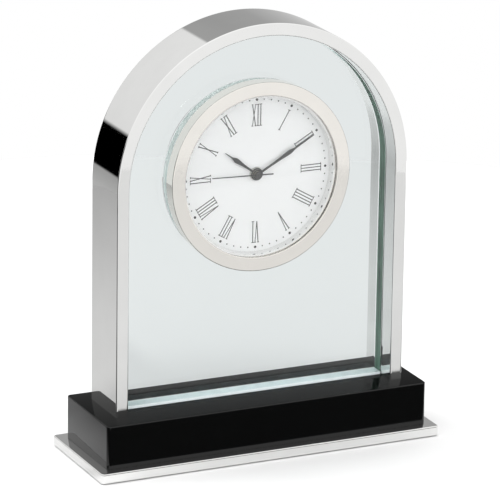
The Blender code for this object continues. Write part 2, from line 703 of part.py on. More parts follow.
# Gear train: teeth of each meshing pair and the distance between their axes
HOUR_TEETH, MOTION_PINION = 40, 10
MOTION_TEETH, CANNON_PINION, KNOB_PINION = 36, 12, 12
CENTRE_TEETH, THIRD_PINION = 64, 8
THIRD_TEETH, SECOND_PINION = 60, 8
SECOND_TEETH, STEP_PINION = 40, 8
STEP_TEETH, ROTOR_PINION = 48, 8


def module_for(teeth, other_teeth, distance):
    return 2 * distance / (teeth + other_teeth)


def pair(teeth, other_teeth, distance, direction, phase=0.0):
    """Outlines of two gears in mesh; direction points from the first axis to the second."""
    module = module_for(teeth, other_teeth, distance)
    other_phase = meshing_phase(phase, teeth, other_teeth, direction)
    return gear_outline(teeth, module, phase), gear_outline(other_teeth, module, other_phase)


def build_train():
    hour_gear, motion_pinion = pair(HOUR_TEETH, MOTION_PINION, MOTION_DISTANCE, 210)
    cannon_pinion, motion_gear = pair(CANNON_PINION, MOTION_TEETH, MOTION_DISTANCE, 210)
    motion_phase = meshing_phase(0.0, CANNON_PINION, MOTION_TEETH, 210)
    knob_pinion = pair(MOTION_TEETH, KNOB_PINION, MOTION_DISTANCE, 200, motion_phase)[1]
    centre_gear, third_pinion = pair(CENTRE_TEETH, THIRD_PINION, TRAIN_DISTANCE, 90)
    third_gear, second_pinion = pair(THIRD_TEETH, SECOND_PINION, TRAIN_DISTANCE, -90)
    second_gear, step_pinion = pair(SECOND_TEETH, STEP_PINION, STEP_DISTANCE, -60)
    step_gear, rotor_pinion = pair(STEP_TEETH, ROTOR_PINION, ROTOR_DISTANCE, -30)

    pivot = circle(PIVOT_RADIUS, 12)
    arbor = circle(ARBOR_RADIUS, 12)
    rear_pivot_end = HOUSING_BACK - 0.5
    shoulder = HOUSING_ROOF - 0.2

    hour_bore = circle(1.58, 24)
    hour_tube = circle(2.07, 24)
    insert_object("hour_wheel", "gear_plastic", [layered([
        (HOUR_LAYER[0] - 0.15, HOUR_LEVEL[0], hour_tube, hour_bore),
        (*HOUR_LEVEL, hour_gear, hour_bore)])])

    cannon_bore = circle(0.78, 20)
    cannon_tube = circle(1.5, 24)
    insert_object("centre_wheel", "gear_plastic", [layered([
        (MINUTE_LAYER[0] - 0.15, MOTION_LEVEL[0], cannon_tube, cannon_bore),
        (MOTION_LEVEL[0], CENTRE_LEVEL[0], cannon_pinion, cannon_bore),
        (*CENTRE_LEVEL, centre_gear, cannon_bore)])])

    second_arbor = circle(0.7, 20)
    insert_object("second_wheel", "gear_plastic", [layered([
        (SECOND_LAYER[0], THIRD_LEVEL[0] - 0.1, second_arbor, None),
        (THIRD_LEVEL[0] - 0.1, SECOND_LEVEL[0], second_pinion, None),
        (*SECOND_LEVEL, second_gear, None),
        (SECOND_LEVEL[1], shoulder, arbor, None),
        (shoulder, rear_pivot_end, pivot, None)])])

    insert_object("third_wheel", "gear_plastic", [layered([
        (HOUSING_FLOOR - 0.6, HOUSING_FLOOR + 0.2, pivot, None),
        (HOUSING_FLOOR + 0.2, CENTRE_LEVEL[0] - 0.1, arbor, None),
        (CENTRE_LEVEL[0] - 0.1, CENTRE_LEVEL[1] + 0.1, third_pinion, None),
        (CENTRE_LEVEL[1] + 0.1, THIRD_LEVEL[0], arbor, None),
        (*THIRD_LEVEL, third_gear, None),
        (THIRD_LEVEL[1], shoulder, arbor, None),
        (shoulder, rear_pivot_end, pivot, None)])], THIRD_AXIS)

    insert_object("step_wheel", "gear_plastic", [layered([
        (PLATE_LEVEL[0] + 0.1, PLATE_LEVEL[1] + 0.2, pivot, None),
        (PLATE_LEVEL[1] + 0.2, SECOND_LEVEL[0] - 0.1, arbor, None),
        (SECOND_LEVEL[0] - 0.1, STEP_LEVEL[0], step_pinion, None),
        (*STEP_LEVEL, step_gear, None),
        (STEP_LEVEL[1], shoulder, arbor, None),
        (shoulder, rear_pivot_end, pivot, None)])], STEP_AXIS)

    magnet = circle(ROTOR_MAGNET, 20)
    insert_object("rotor", "silicon_iron", [layered([
        (PLATE_LEVEL[0] + 0.1, PLATE_LEVEL[1] + 0.2, pivot, None),
        (PLATE_LEVEL[1] + 0.2, STATOR_LEVEL[0] - 0.2, arbor, None),
        (STATOR_LEVEL[0] - 0.2, STATOR_LEVEL[1] + 0.3, magnet, None),
        (STATOR_LEVEL[1] + 0.3, STEP_LEVEL[0] - 0.1, arbor, None),
        (STEP_LEVEL[0] - 0.1, STEP_LEVEL[1] + 0.1, rotor_pinion, None),
        (STEP_LEVEL[1] + 0.1, shoulder, arbor, None),
        (shoulder, rear_pivot_end, pivot, None)])], ROTOR_AXIS)

    insert_object("minute_wheel", "gear_plastic", [layered([
        (HOUR_LEVEL[0], MOTION_LEVEL[0], motion_pinion, cannon_bore),
        (*MOTION_LEVEL, motion_gear, cannon_bore)])], MOTION_AXIS)

    stem = circle(STEM_RADIUS, 24)
    grip = [polar(KNOB_RADIUS - (0.35 if i % 2 else 0.0), 360 * i / 48) for i in range(48)]
    insert_object("setting_knob", "case_plastic", [layered([
        (MOTION_LEVEL[0] - 0.2, MOTION_LEVEL[1] + 0.2, knob_pinion, None),
        (MOTION_LEVEL[1] + 0.2, KNOB_LEVEL[0], stem, None),
        (*KNOB_LEVEL, grip, None)])], KNOB_AXIS)


def build_hands():
    hour = hand_outline([(2.6, 0.4), (8.0, 0.5), (12.2, 1.1), (13.4, 0.5), (14.6, 0.3), (18.4, 0.15)], 2.7)
    minute = hand_outline([(2.0, 0.4), (13.0, 0.5), (17.4, 0.9), (19.6, 0.4), (20.6, 0.3), (30.2, 0.14)], 2.2)
    second = hand_outline([(1.5, 0.26), (21.8, 0.18)], 1.6, [(1.5, 0.26), (7.2, 0.3)])
    insert_object("hour_hand", "hand_grey", [prism(hour, *HOUR_LAYER, circle(2.2, 24))],
                  turn=math.radians(HOUR_ANGLE))
    insert_object("minute_hand", "hand_grey", [prism(minute, *MINUTE_LAYER, circle(1.62, 24))],
                  turn=math.radians(MINUTE_ANGLE))
    cap = circle(1.45, 24)
    front = SECOND_LAYER[0] - 0.3
    insert_object("second_hand", "hand_grey", [layered([
        (front, SECOND_LAYER[0] - 0.1, cap, None),
        (SECOND_LAYER[0] - 0.1, SECOND_LAYER[1], second, circle(0.8, 20))])],
        turn=math.radians(SECOND_ANGLE))


def build():
    clear_scene()
    thread_in_leg = build_base()
    build_arch(thread_in_leg)
    build_bezel()
    build_cup()
    build_battery()
    build_housing()
    build_motor()
    build_train()
    build_hands()


build()
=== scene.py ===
"""Looks for the arched glass mantel clock: fine meshes, finishes, floor, light and camera.

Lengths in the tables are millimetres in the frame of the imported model: +X right, front -Y, up +Z.
"""
import math

import bmesh
import bpy
from mathutils import Matrix, Vector
from mathutils.geometry import tessellate_polygon


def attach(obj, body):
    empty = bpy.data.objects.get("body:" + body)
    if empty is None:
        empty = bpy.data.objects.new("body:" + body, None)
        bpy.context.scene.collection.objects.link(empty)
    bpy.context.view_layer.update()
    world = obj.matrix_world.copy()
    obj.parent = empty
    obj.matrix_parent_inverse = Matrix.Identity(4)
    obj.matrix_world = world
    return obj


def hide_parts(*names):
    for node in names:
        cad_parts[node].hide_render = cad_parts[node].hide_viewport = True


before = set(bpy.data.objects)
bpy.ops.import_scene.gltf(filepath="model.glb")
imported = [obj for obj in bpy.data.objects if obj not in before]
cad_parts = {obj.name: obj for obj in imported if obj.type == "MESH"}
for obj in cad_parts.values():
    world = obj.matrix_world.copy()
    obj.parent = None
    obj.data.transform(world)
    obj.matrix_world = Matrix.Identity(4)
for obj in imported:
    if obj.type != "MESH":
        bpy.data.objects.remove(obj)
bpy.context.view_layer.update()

MM = 0.001
CENTRE_Z = 125.1
ARCH_RADIUS = 69.2
ARCH_INNER = 63.6
ARCH_HALF_DEPTH = 14.0
PLATE_SIZE = (163.4, 55.4)
PLATE_BOTTOM = 0.4
PLATE_TOP = 4.9
BLOCK_SIZE = (154.2, 46.0)
BLOCK_TOP = 24.5
BASE_CORNER = 1.6
SEAT_TOP = 25.75
GLASS_FOOT = 25.6
GLASS_HOLE = 41.2
GLASS_HALF_DEPTH = 5.0
TOUCH = 0.02                    # gap left between neighbours that touch
ROUND = 192                     # sides of the large round pieces

# The clock insert, from its own origin
INSERT_Y = 0.9                  # the insert's origin, behind the middle of the glass
BEZEL_FRONT = -12.3
BEZEL_BACK = -6.1
BEZEL_RADIUS = 42.5
BEZEL_OPENING = 36.3
LENS_FRONT, LENS_BACK = -11.25, -10.4
RING_FRONT, RING_BACK = -10.35, -6.05
RING_BORE_FRONT, RING_BORE_BACK = 35.35, 34.6
DIAL_FRONT, DIAL_BACK = -6.0, -5.5
DIAL_RADIUS = 38.9
DOT_RING = 32.8
HOUR_LAYER = (-7.1, -6.8)
MINUTE_LAYER = (-7.8, -7.5)
SECOND_LAYER = (-8.4, -8.2)
HOUR_ANGLE, MINUTE_ANGLE, SECOND_ANGLE = 306.0, 60.6, 272.0     # clockwise from twelve, in degrees


# Materials

def socket_value(node, name, value):
    node.inputs[name].default_value = value


class Finish:
    """A material whose colour, roughness and surface vary with noise over the object."""

    def __init__(self, name, colour, metallic=0.0, roughness=0.4, stretch=(1.0, 1.0, 1.0)):
        self.material = bpy.data.materials.new(name)
        self.material.use_nodes = True
        self.tree = self.material.node_tree
        self.shader = self.tree.nodes["Principled BSDF"]
        self.colour = colour
        self.roughness = roughness
        socket_value(self.shader, "Metallic", metallic)
        socket_value(self.shader, "Roughness", roughness)
        socket_value(self.shader, "Base Color", (*colour, 1.0))
        place = self.tree.nodes.new("ShaderNodeTexCoord")
        mapping = self.tree.nodes.new("ShaderNodeMapping")
        mapping.inputs["Scale"].default_value = stretch
        self.tree.links.new(place.outputs["Object"], mapping.inputs["Vector"])
        self.vector = mapping.outputs["Vector"]

    def noise(self, size, detail=3.0, roughness=0.55):
        """Noise whose features are about this many millimetres across."""
        node = self.tree.nodes.new("ShaderNodeTexNoise")
        node.inputs["Scale"].default_value = 1.0 / (size * MM)
        node.inputs["Detail"].default_value = detail
        node.inputs["Roughness"].default_value = roughness
        self.tree.links.new(self.vector, node.inputs["Vector"])
        return node.outputs["Fac"]

    def remap(self, source, low, high, start=0.3, end=0.7):
        node = self.tree.nodes.new("ShaderNodeMapRange")
        node.inputs["From Min"].default_value = start
        node.inputs["From Max"].default_value = end
        node.inputs["To Min"].default_value = low
        node.inputs["To Max"].default_value = high
        self.tree.links.new(source, node.inputs["Value"])
        return node.outputs["Result"]

    def vary_colour(self, size, amount):
        """Drift between a darker and a lighter version of the colour."""
        ramp = self.tree.nodes.new("ShaderNodeValToRGB")
        dark = [c * (1.0 - amount) for c in self.colour]
        light = [min(1.0, c * (1.0 + amount)) for c in self.colour]
        ramp.color_ramp.elements[0].position = 0.3
        ramp.color_ramp.elements[1].position = 0.7
        ramp.color_ramp.elements[0].color = (*dark, 1.0)
        ramp.color_ramp.elements[1].color = (*light, 1.0)
        self.tree.links.new(self.noise(size), ramp.inputs["Fac"])
        self.tree.links.new(ramp.outputs["Color"], self.shader.inputs["Base Color"])
        return self

    def vary_roughness(self, size, amount):
        low = max(0.0, self.roughness - amount)
        result = self.remap(self.noise(size, detail=5.0), low, self.roughness + amount)
        self.tree.links.new(result, self.shader.inputs["Roughness"])
        return self

    def bump(self, source, depth):
        """Relief this many millimetres deep."""
        node = self.tree.nodes.new("ShaderNodeBump")
        node.inputs["Strength"].default_value = 1.0
        node.inputs["Distance"].default_value = depth * MM
        self.tree.links.new(source, node.inputs["Height"])
        self.tree.links.new(node.outputs["Normal"], self.shader.inputs["Normal"])
        return self

    def set(self, **values):
        for name, value in values.items():
            socket_value(self.shader, name.replace("_", " "), value)
        return self


def finish_polished_metal():
    made = Finish("polished_metal", (0.86, 0.86, 0.85), 1.0, 0.035)
    made.vary_colour(18.0, 0.02).vary_roughness(2.5, 0.02)
    return made.bump(made.noise(9.0, 2.0), 0.0012).material


def finish_bezel_metal():
    made = Finish("bezel_metal", (0.88, 0.855, 0.81), 1.0, 0.07)
    made.vary_colour(14.0, 0.02).vary_roughness(1.5, 0.03)
    return made.bump(made.noise(6.0, 2.0), 0.001).material


def finish_screw_steel():
    made = Finish("screw_steel", (0.6, 0.6, 0.61), 1.0, 0.28)
    made.vary_colour(0.8, 0.1).vary_roughness(0.4, 0.08)
    return made.bump(made.noise(0.2), 0.004).material


def black_gloss(name, ior):
    made = Finish(name, (0.0008, 0.001, 0.001), 0.0, 0.03)
    made.vary_colour(25.0, 0.25).vary_roughness(6.0, 0.02)
    return made.bump(made.noise(30.0, 2.0), 0.003).set(IOR=ior).material


def finish_black_felt():
    made = Finish("black_felt", (0.018, 0.018, 0.02), 0.0, 0.95)
    made.vary_colour(0.5, 0.4).vary_roughness(0.4, 0.04)
    made.set(Sheen_Weight=0.5, Sheen_Roughness=0.5)
    return made.bump(made.noise(0.25, 6.0, 0.8), 0.12).material


def clear(name, absorb, density, ior):
    """Clear solid glass that tints what travels a long way in it."""
    made = Finish(name, (1.0, 1.0, 1.0), 0.0, 0.0)
    made.set(IOR=ior, Transmission_Weight=1.0)
    made.roughness = 0.003
    made.vary_roughness(8.0, 0.003)
    volume = made.tree.nodes.new("ShaderNodeVolumeAbsorption")
    volume.inputs["Color"].default_value = (*absorb, 1.0)
    volume.inputs["Density"].default_value = density
    output = made.tree.nodes["Material Output"]
    made.tree.links.new(volume.outputs["Volume"], output.inputs["Volume"])
    return made.material


def ground(name, colour, painted_glow=0.0):
    """The ground rim of thick glass, as it looks from inside the pane: its colour and glow are painted
    light, for what the glass carries.
    """
    made = Finish(name, colour, 0.0, 0.6, (1.0, 1.0, 0.12))
    made.vary_colour(2.2, 0.45).vary_roughness(1.0, 0.1)
    # Painted glow: the emission stands in for light carried in the glass to its rim.
    made.set(Emission_Color=(*colour, 1.0), Emission_Strength=painted_glow)
    return made.bump(made.noise(0.5, 4.0), 0.02).material


def finish_adhesive():
    made = Finish("adhesive", (0.72, 0.79, 0.80), 0.0, 0.5)
    made.vary_colour(3.0, 0.05).vary_roughness(1.0, 0.1)
    return made.bump(made.noise(0.8), 0.02).material


def finish_rubber():
    made = Finish("rubber", (0.025, 0.025, 0.026), 0.0, 0.65)
    made.vary_colour(1.5, 0.25).vary_roughness(0.6, 0.12)
    return made.bump(made.noise(0.3, 4.0), 0.02).material


def finish_dial_white():
    made = Finish("dial_white", (0.95, 0.965, 0.965), 0.0, 0.5)
    made.vary_colour(20.0, 0.012).vary_roughness(1.2, 0.08)
    return made.bump(made.noise(0.35, 3.0), 0.004).material


def finish_dial_ink():
    made = Finish("dial_ink", (0.035, 0.037, 0.036), 0.0, 0.45)
    made.vary_colour(0.6, 0.25).vary_roughness(0.5, 0.1)
    return made.bump(made.noise(0.1), 0.002).material


def finish_hand_grey():
    made = Finish("hand_grey", (0.055, 0.058, 0.055), 0.0, 0.38)
    made.vary_colour(1.2, 0.15).vary_roughness(0.6, 0.08)
    return made.bump(made.noise(0.25), 0.003).material


def moulded(name, colour, roughness, grain, depth, tone=0.08):
    """Moulded plastic with a fine spark-eroded grain."""
    made = Finish(name, colour, 0.0, roughness)
    made.vary_colour(6.0, tone).vary_roughness(1.0, 0.08)
    return made.bump(made.noise(grain, 4.0, 0.7), depth).material


def metal(name, colour, roughness, size, stretch=(1.0, 1.0, 1.0)):
    made = Finish(name, colour, 1.0, roughness, stretch)
    made.vary_colour(size, 0.1).vary_roughness(size * 0.5, roughness * 0.3)
    return made.bump(made.noise(size * 0.3), 0.004).material


MATERIALS = {
    "polished_metal": finish_polished_metal(),
    "bezel_metal": finish_bezel_metal(),
    "screw_steel": finish_screw_steel(),
    "black_gloss": black_gloss("black_gloss", 1.45),
    "black_top": black_gloss("black_top", 1.1),
    "black_felt": finish_black_felt(),
    "clear_glass": clear("clear_glass", (0.05, 0.88, 0.90), 5.0, 1.45),
    "lens_glass": clear("lens_glass", (0.75, 0.92, 0.86), 5.0, 1.5),
    # Ground rims: their colours and the hole rim's glow are painted light carried in the glass.
    "ground_edge": ground("ground_edge", (0.09, 0.165, 0.12)),
    "ground_hole": ground("ground_hole", (0.74, 0.84, 0.82), 0.25),
    "adhesive": finish_adhesive(),
    "rubber": finish_rubber(),
    "dial_white": finish_dial_white(),
    "dial_ink": finish_dial_ink(),
    "hand_grey": finish_hand_grey(),
    "case_plastic": moulded("case_plastic", (0.022, 0.022, 0.024), 0.42, 0.18, 0.012, 0.15),
    "white_nylon": moulded("white_nylon", (0.80, 0.80, 0.76), 0.45, 0.3, 0.01),
    "gear_plastic": moulded("gear_plastic", (0.74, 0.70, 0.56), 0.38, 0.25, 0.006),
    "brass": metal("brass", (0.72, 0.54, 0.25), 0.25, 1.5),
    "copper": metal("copper", (0.62, 0.27, 0.13), 0.32, 0.25, (6.0, 1.0, 1.0)),
    "silicon_iron": metal("silicon_iron", (0.42, 0.42, 0.44), 0.36, 1.2),
    "circuit_green": moulded("circuit_green", (0.03, 0.17, 0.07), 0.35, 0.5, 0.01, 0.2),
    "epoxy": moulded("epoxy", (0.012, 0.012, 0.012), 0.25, 0.8, 0.02, 0.3),
    "cell_steel": metal("cell_steel", (0.68, 0.68, 0.69), 0.18, 2.0),
}

NODE_FINISH = {
    "felt_pad": "black_felt",
    "battery": "cell_steel",
    "battery_contact_minus": "brass",
    "battery_contact_plus": "brass",
    "movement_base": "white_nylon",
    "movement_cover": "white_nylon",
    "middle_plate": "white_nylon",
    "stator": "silicon_iron",
    "coil_core": "silicon_iron",
    "coil": "copper",
    "circuit_board": "circuit_green",
    "controller_chip": "epoxy",
    "quartz_crystal": "cell_steel",
    "hour_wheel": "gear_plastic",
    "centre_wheel": "gear_plastic",
    "second_wheel": "gear_plastic",
    "third_wheel": "gear_plastic",
    "step_wheel": "gear_plastic",
    "minute_wheel": "gear_plastic",
    "rotor": "silicon_iron",
    "setting_knob": "case_plastic",
}
for screws, count in (("plate_screw", 4), ("arch_screw", 4), ("cup_screw", 3), ("cover_screw", 4)):
    for number in range(1, count + 1):
        NODE_FINISH[f"{screws}_{number}"] = "screw_steel"


# Mesh helpers

def joined_mesh(name, shapes):
    """One mesh in metres from (points, faces) shapes in millimetres, each facing outwards."""
    points = []
    faces = []
    for shape_points, shape_faces in shapes:
        part = bpy.data.meshes.new("part")
        part.from_pydata(shape_points, [], shape_faces)
        work = bmesh.new()
        work.from_mesh(part)
        bpy.data.meshes.remove(part)
        bmesh.ops.recalc_face_normals(work, faces=work.faces)
        if work.calc_volume(signed=True) < 0:
            bmesh.ops.reverse_faces(work, faces=work.faces)
        start = len(points)
        work.verts.index_update()
        points += [v.co * MM for v in work.verts]
        faces += [[start + v.index for v in face.verts] for face in work.faces]
        work.free()
    mesh = bpy.data.meshes.new(name)
    mesh.from_pydata(points, [], faces)
    return mesh


def build(name, shapes, finish, body, stands_for=(), at=(0.0, 0.0, CENTRE_Z), turn=0.0):
    """One piece from (points, faces) shapes in millimetres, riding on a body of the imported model."""
    mesh = joined_mesh(name, shapes)
    piece = bpy.data.objects.new(name, mesh)
    bpy.context.scene.collection.objects.link(piece)
    piece.location = Vector(at) * MM
    piece.rotation_euler = (0.0, math.radians(turn), 0.0)
    mesh.materials.append(MATERIALS[finish])
    tidy_shading(mesh)
    if stands_for:
        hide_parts(*stands_for)
    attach(piece, body)
    return piece


def tidy_shading(mesh):
    """Flat faces stay exactly flat, curved ones are smooth, and corners over 32 degrees are sharp."""
    for face in mesh.polygons:
        face.use_smooth = max(abs(c) for c in face.normal) < 0.999995
    mesh.set_sharp_from_angle(angle=math.radians(32))


def polar(radius, degrees):
    return (radius * math.cos(math.radians(degrees)), radius * math.sin(math.radians(degrees)))


def circle(radius, sides, centre=(0.0, 0.0)):
    ring = [polar(radius, 360.0 * i / sides) for i in range(sides)]
    return [(centre[0] + x, centre[1] + z) for x, z in ring]


def skin(loops, cap_ends=True, closed=False):
    """Faces between rings of equal length. Each ring is a list of (x, y, z) points."""
    points = [p for loop in loops for p in loop]
    count = len(loops[0])
    faces = []
    following = list(range(1, len(loops))) + ([0] if closed else [])
    for a, b in enumerate(following):
        for i in range(count):
            j = (i + 1) % count
            faces.append([a * count + i, a * count + j, b * count + j, b * count + i])
    if cap_ends and not closed:
        last = (len(loops) - 1) * count
        faces.append(list(range(count))[::-1])
        faces.append([last + i for i in range(count)])
    return points, faces


def fillet(radius, steps=4):
    """Quarter round from (0, radius) to (radius, 0), as offsets from a corner."""
    return [(radius - radius * math.cos(math.radians(90.0 * i / steps)),
             radius - radius * math.sin(math.radians(90.0 * i / steps))) for i in range(steps + 1)]


def rounded_rectangle(width, height, radius, steps=10):
    points = []
    for quarter, (sx, sz) in enumerate(((1, 1), (-1, 1), (-1, -1), (1, -1))):
        for step in range(steps + 1):
            dx, dz = polar(radius, 90 * quarter + 90 * step / steps)
            points.append((sx * (width / 2 - radius) + dx, sz * (height / 2 - radius) + dz))
    return points


def slab(width, depth, corner, low, high, edge, place=lambda a, b, h: (a, b, h), bottom_edge=None):
    """A rounded plate between two heights, with rounded rims."""
    bottom = edge if bottom_edge is None else bottom_edge
    profile = [(dx, low + dz) for dz, dx in fillet(bottom)]
    profile += [(0.0, low + bottom + 0.25), (0.0, high - edge - 0.25)]
    profile += [(dx, high - dz) for dx, dz in fillet(edge)]
    loops = []
    for inset, h in profile:
        outline = rounded_rectangle(width - 2 * inset, depth - 2 * inset, max(0.05, corner - inset))
        loops.append([place(a, b, h) for a, b in outline])
    return skin(loops)


def lathe(profile, sides=ROUND):
    """A closed (radius, y) profile turned about the Y axis."""
    loops = []
    for radius, y in profile:
        loops.append([(x, y, z) for x, z in circle(radius, sides)])
    return skin(loops, closed=True)


def disc(radius, y0, y1, edge, sides=ROUND):
    """A solid disc with rounded rims."""
    profile = [(radius - dx, y0 + dy) for dy, dx in fillet(edge)]
    profile += [(radius - dx, y1 - dy) for dx, dy in fillet(edge)]
    return skin([[(x, y, z) for x, z in circle(r, sides)] for r, y in profile])


def prism(outline, y0, y1, holes=()):
    """A flat shape between two depths, with holes."""
    outlines = [outline] + list(holes)
    flat = [[Vector((x, z, 0.0)) for x, z in loop] for loop in outlines]
    caps = [list(t) for t in tessellate_polygon(flat)]
    total = sum(len(loop) for loop in outlines)
    points = [(x, y, z) for y in (y0, y1) for loop in outlines for x, z in loop]
    faces = caps + [[i + total for i in face] for face in caps]
    start = 0
    for loop in outlines:
        count = len(loop)
        for i in range(count):
            j = (i + 1) % count
            faces.append([start + i, start + j, total + start + j, total + start + i])
        start += count
    return points, faces


def on_floor(name, shapes, finish, body, stands_for):
    return build(name, shapes, finish, body, stands_for, at=(0.0, 0.0, 0.0))


def in_insert(name, shapes, finish, body, stands_for=(), axis=(0.0, 0.0), turn=0.0):
    """A piece of the clock insert, or of something that turns or slides in it."""
    return build(name, shapes, finish, body, stands_for, (axis[0], INSERT_Y, CENTRE_Z + axis[1]), turn)


# Base

def make_base():
    plate = slab(*PLATE_SIZE, BASE_CORNER, PLATE_BOTTOM, PLATE_TOP, 0.45)
    on_floor("plate", [plate], "polished_metal", "base", ["base_plate"])
    body = slab(*BLOCK_SIZE, BASE_CORNER, PLATE_TOP + TOUCH, BLOCK_TOP, 0.4, bottom_edge=0.2)
    block = on_floor("block", [body], "black_gloss", "base", ["base_block"])
    block.data.materials.append(MATERIALS["black_top"])
    for face in block.data.polygons:
        if face.normal.z > 0.95:
            face.material_index = 1
    half = ARCH_INNER - 0.3
    seat = slab(2 * half, 9.9, 0.2, BLOCK_TOP + TOUCH, SEAT_TOP, 0.08)
    on_floor("glass_bed", [seat], "adhesive", "base", ["glass_seat"])


def arch_section():
    """Cross-section of the hoop's band, as (radius, y), with rounded rims and lines to hold them."""
    edge = 0.5
    hold = edge + 0.3
    section = []
    for sign_r, sign_y in ((1, 1), (-1, 1), (-1, -1), (1, -1)):
        corner_r = ARCH_RADIUS if sign_r > 0 else ARCH_INNER
        corner_y = sign_y * ARCH_HALF_DEPTH
        offsets = [(0.0, hold)] + fillet(edge) + [(hold, 0.0)]
        bend = [(corner_r - sign_r * a, corner_y - sign_y * b) for a, b in offsets]
        section += bend if sign_r == sign_y else bend[::-1]
    return section


def arch_path(section, foot, steps):
    """Rings of the section along one leg, over the half circle, and down the other leg."""
    rings = [[(r, y, foot) for r, y in section]]
    for step in range(steps + 1):
        cos, sin = polar(1.0, 180.0 * step / steps)
        rings.append([(r * cos, y, r * sin) for r, y in section])
    rings.append([(-r, y, foot) for r, y in section])
    return rings


def make_arch():
    foot = BLOCK_TOP + TOUCH - CENTRE_Z
    rings = arch_path(arch_section(), foot, ROUND)
    build("hoop", [skin(rings)], "polished_metal", "base", ["arch_frame"])


def make_glass():
    """The arched pane, with a round hole, as one closed solid with ground rims."""
    radius = ARCH_INNER - 0.15
    foot = GLASS_FOOT - CENTRE_Z
    half = GLASS_HALF_DEPTH
    rim = 0.35

    def outline(inset):
        r = radius - inset
        arc = [polar(r, 180.0 * i / ROUND) for i in range(ROUND + 1)]
        return [(r, foot + inset)] + arc + [(-r, foot + inset)]

    def hole_outline(inset):
        return circle(GLASS_HOLE + inset, ROUND)

    points = []
    faces = []

    def ring(loop, y):
        start = len(points)
        points.extend((x, y, z) for x, z in loop)
        return list(range(start, start + len(loop)))

    def bridge(a, b):
        for i in range(len(a)):
            j = (i + 1) % len(a)
            faces.append([a[i], a[j], b[j], b[i]])

    caps = []
    for loops in (outline, hole_outline):
        rings = [ring(loops(rim), -half), ring(loops(0.0), -half + rim), ring(loops(0.0), half - rim),
                 ring(loops(rim), half)]
        for a, b in zip(rings, rings[1:]):
            bridge(a, b)
        caps.append((rings[0], rings[-1]))
    for end in (0, 1):
        index = caps[0][end] + caps[1][end]
        flat = [[Vector((points[i][0], points[i][2], 0.0)) for i in caps[0][end]],
                [Vector((points[i][0], points[i][2], 0.0)) for i in caps[1][end]]]
        faces.extend([index[i] for i in t] for t in tessellate_polygon(flat))
    pane = build("pane", [(points, faces)], "clear_glass", "base", ["glass_panel"])
    pane.data.materials.append(MATERIALS["ground_edge"])
    pane.data.materials.append(MATERIALS["ground_hole"])
    for face in pane.data.polygons:
        if abs(face.normal.y) < 0.3:
            middle = math.hypot(face.center.x, face.center.z) / MM
            face.material_index = 2 if middle < GLASS_HOLE + 1.0 else 1


# Insert

def make_bezel():
    edge = 0.45
    outer = [(BEZEL_RADIUS - dr, BEZEL_FRONT + dy) for dy, dr in fillet(edge)]
    outer = [(BEZEL_RADIUS - edge - 0.3, BEZEL_FRONT)] + outer + [(BEZEL_RADIUS, -11.5)]
    inner = [(BEZEL_OPENING + dr, BEZEL_FRONT + dy) for dr, dy in fillet(0.3)]
    profile = inner + [(36.95, BEZEL_FRONT)] + outer + [
        (BEZEL_RADIUS, BEZEL_BACK), (42.3, -5.92), (40.2, -5.92), (40.2, -2.0), (39.3, -2.0), (39.3, -10.3),
        (39.0, -11.5), (36.6, -11.5), (BEZEL_OPENING, -11.65),
    ]
    in_insert("bezel_ring", [lathe(profile)], "bezel_metal", "insert", ["bezel"])
    lens = disc(39.0, LENS_FRONT, LENS_BACK, 0.12)
    in_insert("lens", [lens], "lens_glass", "insert", ["crystal_lens"])
    gasket = [(37.3, -10.05), (38.85, -10.05), (38.85, -9.55), (37.3, -9.55)]
    in_insert("lens_seal", [lathe(gasket, 96)], "rubber", "insert", ["lens_gasket"])
    ring = [(RING_BORE_FRONT, RING_FRONT), (36.5, RING_FRONT), (36.9, -10.1), (37.0, -9.4),
            (DIAL_RADIUS, -9.4), (DIAL_RADIUS, RING_BACK), (RING_BORE_BACK, RING_BACK),
            (RING_BORE_BACK - 0.02, RING_BACK - 0.1)]
    in_insert("reflector", [lathe(ring)], "polished_metal", "insert", ["reflector_ring"])


STROKE = 0.40
THIN = 0.32
NUMERAL_LOW, NUMERAL_HIGH = 21.3, 30.7
ADVANCE = {"I": 1.28, "V": 2.35, "X": 2.45}
HOURS = ("XII", "I", "II", "III", "IIII", "V", "VI", "VII", "VIII", "IX", "X", "XI")


def bar(p0, p1, width, top):
    """A straight printed stroke between two (x, z) points."""
    x0, z0 = p0
    x1, z1 = p1
    length = math.hypot(x1 - x0, z1 - z0)
    nx = -(z1 - z0) / length * width / 2
    nz = (x1 - x0) / length * width / 2
    return [(x0 + nx, z0 + nz), (x1 + nx, z1 + nz), (x1 - nx, z1 - nz), (x0 - nx, z0 - nz)], top


def numeral(text):
    """Strokes of an open Roman numeral, centred, from its inner to its outer end."""
    low, high = NUMERAL_LOW, NUMERAL_HIGH
    strokes = []
    x = -sum(ADVANCE[c] for c in text) / 2
    for letter in text:
        middle = x + ADVANCE[letter] / 2
        reach = ADVANCE[letter] / 2
        if letter == "I":
            strokes.append(bar((middle, low), (middle, high), STROKE, 0.030))
            for z in (low, high):
                strokes.append(bar((middle - reach * 0.95, z), (middle + reach * 0.95, z), THIN, 0.024))
        elif letter == "V":
            strokes.append(bar((middle - reach * 0.62, high), (middle, low), STROKE, 0.030))
            strokes.append(bar((middle + reach * 0.62, high), (middle, low), THIN, 0.027))
            for side in (-1, 1):
                foot = middle + side * reach * 0.62
                strokes.append(bar((foot - 0.42, high), (foot + 0.42, high), THIN, 0.024))
        else:
            strokes.append(bar((middle - reach * 0.62, high), (middle + reach * 0.62, low), STROKE, 0.030))
            strokes.append(bar((middle + reach * 0.62, high), (middle - reach * 0.62, low), THIN, 0.027))
            for side in (-1, 1):
                for z in (low, high):
                    foot = middle + side * reach * 0.62
                    strokes.append(bar((foot - 0.42, z), (foot + 0.42, z), THIN, 0.024))
        x += ADVANCE[letter]
    return strokes


def turn_clockwise(outline, degrees):
    c = math.cos(math.radians(degrees))
    s = math.sin(math.radians(degrees))
    return [(x * c + z * s, -x * s + z * c) for x, z in outline]


